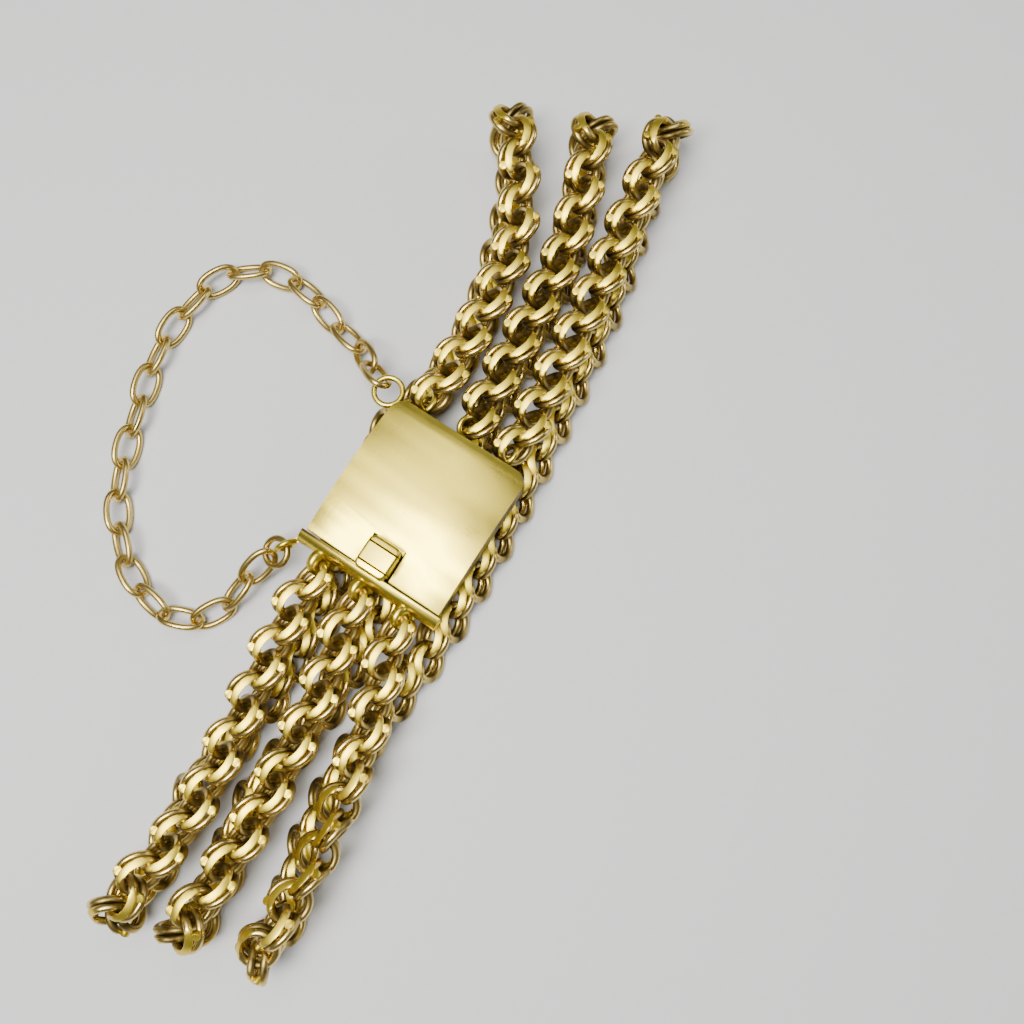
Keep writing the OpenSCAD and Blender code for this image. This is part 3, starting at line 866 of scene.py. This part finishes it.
class BRACELET_OT_safety_chain(bpy.types.Operator):
    """Build the fine safety chain of oval links and its round end ring"""

    bl_idname = "bracelet.safety_chain"
    bl_label = "Safety chain"

    def execute(self, context):
        gold = chain_gold(context.scene.bracelet_gold)
        link = mesh_object("oval_link", *oval_mesh(OVAL_LENGTH, OVAL_WIDTH, FINE_WIRE_R))
        places = safety_frames(context.scene.bracelet_links.safety_links)
        chain = repeated("safety_chain_links", link, places, gold, 11)
        bpy.data.objects.remove(link)
        points, faces = ring_mesh(END_RING_R, FINE_WIRE_R)
        tilt = math.radians(END_RING_TILT)
        turn = Matrix.Rotation(tilt, 4, "Y") @ Matrix.Rotation(tilt, 4, "X")
        put = Matrix.Translation(in_frame(Vector(END_RING_AT))) @ turn
        shade_and_tarnish = [RING_TARNISH] * len(points)
        ring = mesh_object("end_ring", [put @ p for p in points], faces, {"shade_and_tarnish": shade_and_tarnish})
        ring.data.materials.append(gold)
        keep(ring, BODY, "chain_gold")
        keep(chain, BODY, "chain_gold", "safety_chain")
        return {"FINISHED"}


class BRACELET_OT_clasp(bpy.types.Operator):
    """Build the arched case of the box clasp"""

    bl_idname = "bracelet.clasp"
    bl_label = "Clasp case"

    def execute(self, context):
        case = softened("clasp_case", "clasp_box", CASE_EDGE, segments=4)
        case.data.materials.append(clasp_gold(context.scene.bracelet_gold))
        # painted shade: the side walls are painted darker than the worn plate, as a painted dark reflection
        painted_wall_shade = [WALL_PAINTED_SHADE if abs(v.normal.z) < WALL_Z else 0.0 for v in case.data.vertices]
        mark(case.data, "shade_and_tarnish", painted_wall_shade)
        keep(case, BODY, "clasp_gold", "clasp_box")
        return {"FINISHED"}


class BRACELET_OT_tongue(bpy.types.Operator):
    """Build the tongue's end bar with its eyes, and the thumb tab"""

    bl_idname = "bracelet.tongue"
    bl_label = "Tongue and thumb tab"

    def execute(self, context):
        gold = clasp_gold(context.scene.bracelet_gold)
        bar = softened("tongue_bar", "tongue", BAR_EDGE)
        bar.data.materials.append(gold)
        # painted shade in the seam between the bar and the case
        mark(bar.data, "shade_and_tarnish", [SEAM_PAINTED_SHADE if v.co.x > SEAM_X else 0.0 for v in bar.data.vertices])
        keep(bar, BODY, "clasp_gold", "tongue")
        points, faces = ring_mesh(EYE_R, EYE_WIRE_R, EYE_SEGMENTS, EYE_SIDES)
        turn = Matrix.Rotation(math.radians(EYE_TILT), 4, "X")
        turned = [turn @ p for p in points]
        seats = [
            (EYE_X, side * (EYE_PITCH + EYE_SPREAD) + EYE_SHIFT, EYE_Z - side * EYE_FALL)
            for side in (-1, 0, 1)
        ]
        eyes = mesh_object("strand_eyes", *joined([(settled(turned, seat), faces) for seat in seats]))
        eyes.data.materials.append(gold)
        keep(eyes, BODY, "clasp_gold")
        # spring leaf, its neck through the mouth, and the raised piece on it
        raised, raised_faces, dark = thumb_mesh()
        points, faces = joined([prism(LEAF, LEAF_HALF_W), prism(NECK, NECK_HALF_W), (raised, raised_faces)])
        # painted shade in the grip grooves and under the raised piece
        shade_and_tarnish = [0.0] * (len(points) - len(dark)) + dark
        tab = mesh_object("thumb_piece", settled(points), faces, {"shade_and_tarnish": shade_and_tarnish})
        tab.data.set_sharp_from_angle(angle=math.radians(THUMB_SHARP))
        tab.data.materials.append(gold)
        keep(tab, THUMB, "clasp_gold", "thumb_tab")
        return {"FINISHED"}


# Half the floor's side, and the plain light that comes from all round
FLOOR_HALF = 700
ROOM_COLOUR, ROOM_STRENGTH = (0.97, 0.98, 1.0, 1), 0.16
# Each light's name, direction and distance from the bracelet, width, height, direction of its width, and watts
LIGHTS = (
    ("Key softbox", (-0.263, 0.049, 0.9635), 260, 182, 78, (0.908, -0.418, 0), 1.15),
    ("Overhead fill", (0.23, 0.215, 0.949), 300, 290, 116, (0.908, -0.418, 0), 0.37),
    ("Low edge light", (0.7, -0.6, 0.4), 260, 90, 90, (0, 1, 0), 0.12),
)
# The camera's place, where it looks and what is up for it, its lens and sensor, and how near it sees, in metres
CAMERA_AT, CAMERA_LOOK, CAMERA_UP = (-9.68, -16.6, 99.4), (0.145, 0.094, -0.985), (0.826, 0.536, 0.173)
LENS, SENSOR, NEAREST = 36, 36, 0.001


class BRACELET_OT_stage(bpy.types.Operator):
    """Make the plain pale floor, the soft light and the camera"""

    bl_idname = "bracelet.stage"
    bl_label = "Stage"

    def execute(self, context):
        scene = context.scene
        corners = [(FLOOR_HALF * x, FLOOR_HALF * y, 0) for x, y in ((-1, -1), (1, -1), (1, 1), (-1, 1))]
        floor = mesh_object("floor", corners, [(0, 1, 2, 3)], smooth=False)
        floor.data.materials.append(floor_material("Pale floor", scene.bracelet_gold.floor))
        world = bpy.data.worlds.new("Soft room")
        world.use_nodes = True
        room = world.node_tree.nodes["Background"].inputs
        room["Color"].default_value, room["Strength"].default_value = ROOM_COLOUR, ROOM_STRENGTH
        scene.world = world
        for name, direction, distance, width, height, edge, power in LIGHTS:
            lamp = bpy.data.lights.new(name, "AREA")
            lamp.shape = "RECTANGLE"
            lamp.size, lamp.size_y = width * MM, height * MM
            lamp.energy = power
            obj = bpy.data.objects.new(name, lamp)
            d = Vector(direction).normalized()
            across = Vector(edge)
            across = (across - across.dot(d) * d).normalized()
            obj.matrix_world = placed((across, d.cross(across), d), d * distance * MM)
            scene.collection.objects.link(obj)
        lens = bpy.data.cameras.new("Photo view")
        lens.lens, lens.sensor_width = LENS, SENSOR
        lens.clip_start = NEAREST
        camera = bpy.data.objects.new("Photo view", lens)
        look = Vector(CAMERA_LOOK).normalized()
        right = look.cross(Vector(CAMERA_UP)).normalized()
        camera.matrix_world = placed((right, right.cross(look), -look), in_frame(Vector(CAMERA_AT)) * MM)
        scene.collection.objects.link(camera)
        scene.camera = camera
        return {"FINISHED"}


class BRACELET_PT_panel(bpy.types.Panel):
    """Buttons that build each part of the bracelet"""

    bl_label = "Bracelet"
    bl_idname = "BRACELET_PT_panel"
    bl_space_type = "VIEW_3D"
    bl_region_type = "UI"
    bl_category = "Bracelet"

    def draw(self, context):
        layout = self.layout
        for op in OPERATORS:
            layout.operator(op.bl_idname)
        for group in (context.scene.bracelet_links, context.scene.bracelet_gold):
            for key in group.bl_rna.properties.keys():
                if key not in ("rna_type", "name"):
                    layout.prop(group, key)


OPERATORS = (
    BRACELET_OT_stage,
    BRACELET_OT_clasp,
    BRACELET_OT_tongue,
    BRACELET_OT_strands,
    BRACELET_OT_safety_chain,
)
CLASSES = (LinkStyle, GoldStyle, *OPERATORS, BRACELET_PT_panel)


def register():
    for c in CLASSES:
        bpy.utils.register_class(c)
    bpy.types.Scene.bracelet_links = PointerProperty(type=LinkStyle)
    bpy.types.Scene.bracelet_gold = PointerProperty(type=GoldStyle)


def unregister():
    del bpy.types.Scene.bracelet_links
    del bpy.types.Scene.bracelet_gold
    for c in reversed(CLASSES):
        bpy.utils.unregister_class(c)


def main():
    register()
    bpy.ops.bracelet.stage()
    bpy.ops.bracelet.clasp()
    bpy.ops.bracelet.tongue()
    bpy.ops.bracelet.strands()
    bpy.ops.bracelet.safety_chain()


if __name__ == "__main__":
    main()
